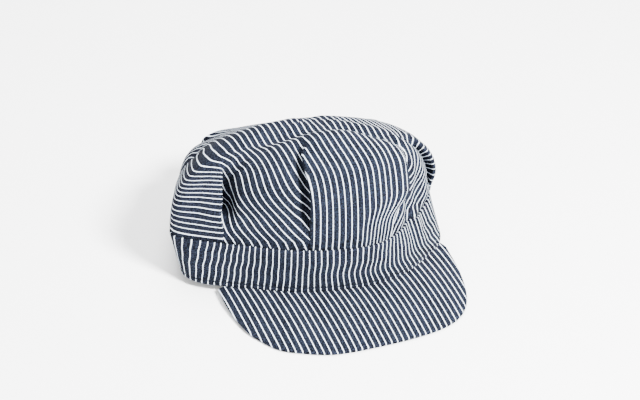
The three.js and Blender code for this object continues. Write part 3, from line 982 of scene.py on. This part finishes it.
def make_denim(name, phase):
    """Woven cotton with white stripes, drawn from each point's place in the cloth."""
    material, tree, shader = new_material(name)
    place = node(tree, "ShaderNodeAttribute", attribute_name="cloth").outputs["Vector"]
    split = node(tree, "ShaderNodeSeparateXYZ")
    tree.links.new(place, split.inputs[0])
    across = split.outputs[0]
    along = split.outputs[1]

    # White stripes with a slightly uneven edge
    fuzz = noise(tree, place, FUZZ_SCALE)
    wobble = math_node(tree, "MULTIPLY_ADD", fuzz, STRIPE_WOBBLE, -STRIPE_WOBBLE / 2)
    shifted = math_node(tree, "ADD", math_node(tree, "ADD", across, wobble), phase)
    share = math_node(tree, "FRACT", math_node(tree, "DIVIDE", shifted, STRIPE_PITCH))
    middle = math_node(tree, "ABSOLUTE", math_node(tree, "SUBTRACT", share, 0.5))
    offset = math_node(tree, "MULTIPLY", middle, STRIPE_PITCH)
    edge = (STRIPE_WIDTH + STRIPE_BLUR) / 2 / STRIPE_BLUR
    stripe = math_node(tree, "MULTIPLY_ADD", offset, -1 / STRIPE_BLUR, edge, clamp=True)

    # The two diagonals of the weave
    rising = math_node(tree, "ADD", across, along)
    falling = math_node(tree, "SUBTRACT", across, along)
    warp = math_node(tree, "SINE", math_node(tree, "MULTIPLY", rising, 2 * math.pi / WARP_PITCH))
    weft = math_node(tree, "SINE", math_node(tree, "MULTIPLY", falling, 2 * math.pi / WEFT_PITCH))

    # Colour, from the specks of pale thread and the worn patches
    speck = noise(tree, place, SPECK_SCALE, SPECK_DETAIL, SPECK_ROUGHNESS)
    patch = math_node(tree, "SUBTRACT", noise(tree, place, PATCH_SCALE), 0.5)
    tone = math_node(tree, "MULTIPLY_ADD", speck, SPECK_TONE, TONE_START, clamp=True)
    tone = math_node(tree, "MULTIPLY_ADD", warp, WARP_TONE, tone, clamp=True)
    tone = math_node(tree, "MULTIPLY_ADD", patch, PATCH_TONE, tone, clamp=True)
    blue = mix_colour(tree, tone, BLUE_DARK, BLUE_LIGHT)
    white = mix_colour(tree, tone, WHITE_DARK, WHITE_LIGHT)
    tree.links.new(mix_colour(tree, stripe, blue, white), shader.inputs["Base Color"])

    # Relief of the threads
    warp_height = math_node(tree, "MULTIPLY", warp, WARP_RELIEF)
    height = math_node(tree, "ADD", warp_height, math_node(tree, "MULTIPLY", weft, WEFT_RELIEF))
    height = math_node(tree, "ADD", height, math_node(tree, "MULTIPLY", speck, SPECK_RELIEF))
    height = math_node(tree, "ADD", height, math_node(tree, "MULTIPLY", stripe, STRIPE_RELIEF))
    add_bump(tree, shader, height, DENIM_BUMP_STRENGTH, DENIM_BUMP)
    rough = math_node(tree, "MULTIPLY_ADD", tone, -ROUGHNESS_FALL, DENIM_ROUGHNESS)
    tree.links.new(rough, shader.inputs["Roughness"])
    shader.inputs["Specular IOR Level"].default_value = DENIM_SPECULAR
    return material


def make_thread_material():
    material, tree, shader = new_material("navy_thread")
    place = node(tree, "ShaderNodeTexCoord").outputs["Object"]
    fibre = noise(tree, place, THREAD_SCALE, dimensions="3D")
    colour = mix_colour(tree, fibre, THREAD_DARK, THREAD_LIGHT)
    tree.links.new(colour, shader.inputs["Base Color"])
    add_bump(tree, shader, fibre, THREAD_BUMP_STRENGTH, THREAD_BUMP)
    shader.inputs["Roughness"].default_value = THREAD_ROUGHNESS
    shader.inputs["Specular IOR Level"].default_value = THREAD_SPECULAR
    return material


def make_stitches():
    """A row of sewn stitches round the band, each a short bent thread."""
    verts = []
    faces = []
    count = int(BAND_LENGTH / STITCH_STEP)
    step = BAND_LENGTH / count
    t = np.linspace(0, 1, STITCH_RINGS)
    bulge = BAND_THICK / 2 - STITCH_SINK + STITCH_RISE * np.sin(math.pi * t) ** STITCH_ARCH
    radius = STITCH_RADIUS * (STITCH_END + (1 - STITCH_END) * np.sin(math.pi * t))
    for index in range(count):
        start = index * step
        distance = start + t * STITCH_LENGTH * step / STITCH_STEP
        middle = band_point(distance, np.full(STITCH_RINGS, STITCH_HEIGHT), bulge)
        out = np.concatenate([plan_at(distance)[2], np.zeros((STITCH_RINGS, 1))], 1)
        base = len(verts)
        for k in range(STITCH_RINGS):
            for s in range(STITCH_SIDES):
                angle = 2 * math.pi * s / STITCH_SIDES
                offset = out[k] * math.cos(angle) + np.array([0, 0, 1.0]) * math.sin(angle)
                verts.append(middle[k] + offset * radius[k])
        for k in range(STITCH_RINGS - 1):
            for s in range(STITCH_SIDES):
                a = base + k * STITCH_SIDES + s
                b = base + k * STITCH_SIDES + (s + 1) % STITCH_SIDES
                faces.append((a, a + STITCH_SIDES, b + STITCH_SIDES, b))
        last = base + (STITCH_RINGS - 1) * STITCH_SIDES
        faces.append(tuple(base + s for s in range(STITCH_SIDES)))
        faces.append(tuple(last + s for s in reversed(range(STITCH_SIDES))))
    mesh = bpy.data.meshes.new("band_topstitch")
    mesh.from_pydata([tuple(v) for v in to_rest(np.array(verts))], [], faces)
    mesh.shade_smooth()
    return add_object("band_topstitch", mesh)


def make_floor():
    mesh = bpy.data.meshes.new("floor")
    corners = [(x * FLOOR_REACH, y * FLOOR_REACH, 0) for x, y in ((-1, -1), (1, -1), (1, 1), (-1, 1))]
    mesh.from_pydata(corners, [], [(0, 1, 2, 3)])
    floor = add_object("floor", mesh)
    material, _, shader = new_material("pale_floor")
    shader.inputs["Base Color"].default_value = FLOOR_COLOUR
    shader.inputs["Roughness"].default_value = FLOOR_ROUGHNESS
    mesh.materials.append(material)


def make_light(name, place, size, power):
    data = bpy.data.lights.new(name, "AREA")
    data.shape = "DISK"
    data.size = size
    data.energy = power
    light = add_object(name, data)
    light.location = place
    light.rotation_mode = "QUATERNION"
    light.rotation_quaternion = (Vector(LIGHT_TARGET) - Vector(place)).to_track_quat("-Z", "Y")


def make_world():
    world = bpy.data.worlds.new("studio")
    world.use_nodes = True
    background = world.node_tree.nodes["Background"]
    background.inputs["Color"].default_value = WORLD_COLOUR
    background.inputs["Strength"].default_value = WORLD_STRENGTH
    bpy.context.scene.world = world


def make_camera():
    """The photo's camera, turned from the band's level to the resting position."""
    a = math.radians(CAMERA_AZIMUTH)
    e = math.radians(CAMERA_ELEVATION)
    r = math.radians(CAMERA_ROLL)
    back = np.array([math.sin(a) * math.cos(e), -math.cos(a) * math.cos(e), math.sin(e)])
    right = np.array([math.cos(a), math.sin(a), 0.0])
    up = np.cross(back, right)
    image_right = math.cos(r) * right - math.sin(r) * up
    image_up = math.sin(r) * right + math.cos(r) * up
    c, s = math.cos(REST_PITCH), math.sin(REST_PITCH)
    tilt = np.array([[1, 0, 0], [0, c, s], [0, -s, c]])
    axes = np.stack([tilt @ image_right, tilt @ image_up, tilt @ back], 1)
    place = to_rest((back * CAMERA_DISTANCE)[None, :])[0]
    data = bpy.data.cameras.new("camera")
    data.sensor_width = CAMERA_SENSOR
    data.sensor_fit = "HORIZONTAL"
    data.lens = CAMERA_SCALE * CAMERA_DISTANCE / IMAGE_WIDTH * CAMERA_SENSOR
    data.shift_x = (IMAGE_WIDTH / 2 - CAMERA_CENTRE[0]) / IMAGE_WIDTH
    data.shift_y = (CAMERA_CENTRE[1] - IMAGE_HEIGHT / 2) / IMAGE_WIDTH
    data.clip_start = CAMERA_NEAR
    data.clip_end = CAMERA_FAR
    camera = add_object("camera", data)
    matrix = Matrix(axes.tolist()).to_4x4()
    matrix.translation = Vector(place.tolist())
    camera.matrix_world = matrix
    bpy.context.scene.camera = camera


def main():
    crown = make_crown()
    band = make_band()
    visor = make_visor()
    stitches = make_stitches()
    crown.data.materials.append(make_denim("striped_denim_crown", STRIPE_SHIFT))
    band.data.materials.append(make_denim("striped_denim_band", BAND_STRIPE_SHIFT))
    visor.data.materials.append(make_denim("striped_denim_visor", STRIPE_SHIFT))
    stitches.data.materials.append(make_thread_material())
    for piece in (crown, band, visor, stitches):
        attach(piece, "root")
    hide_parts("crown")
    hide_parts("band")
    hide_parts("visor")
    make_floor()
    for name, place, size, power in LIGHTS:
        make_light(name, place, size, power)
    make_world()
    make_camera()


main()
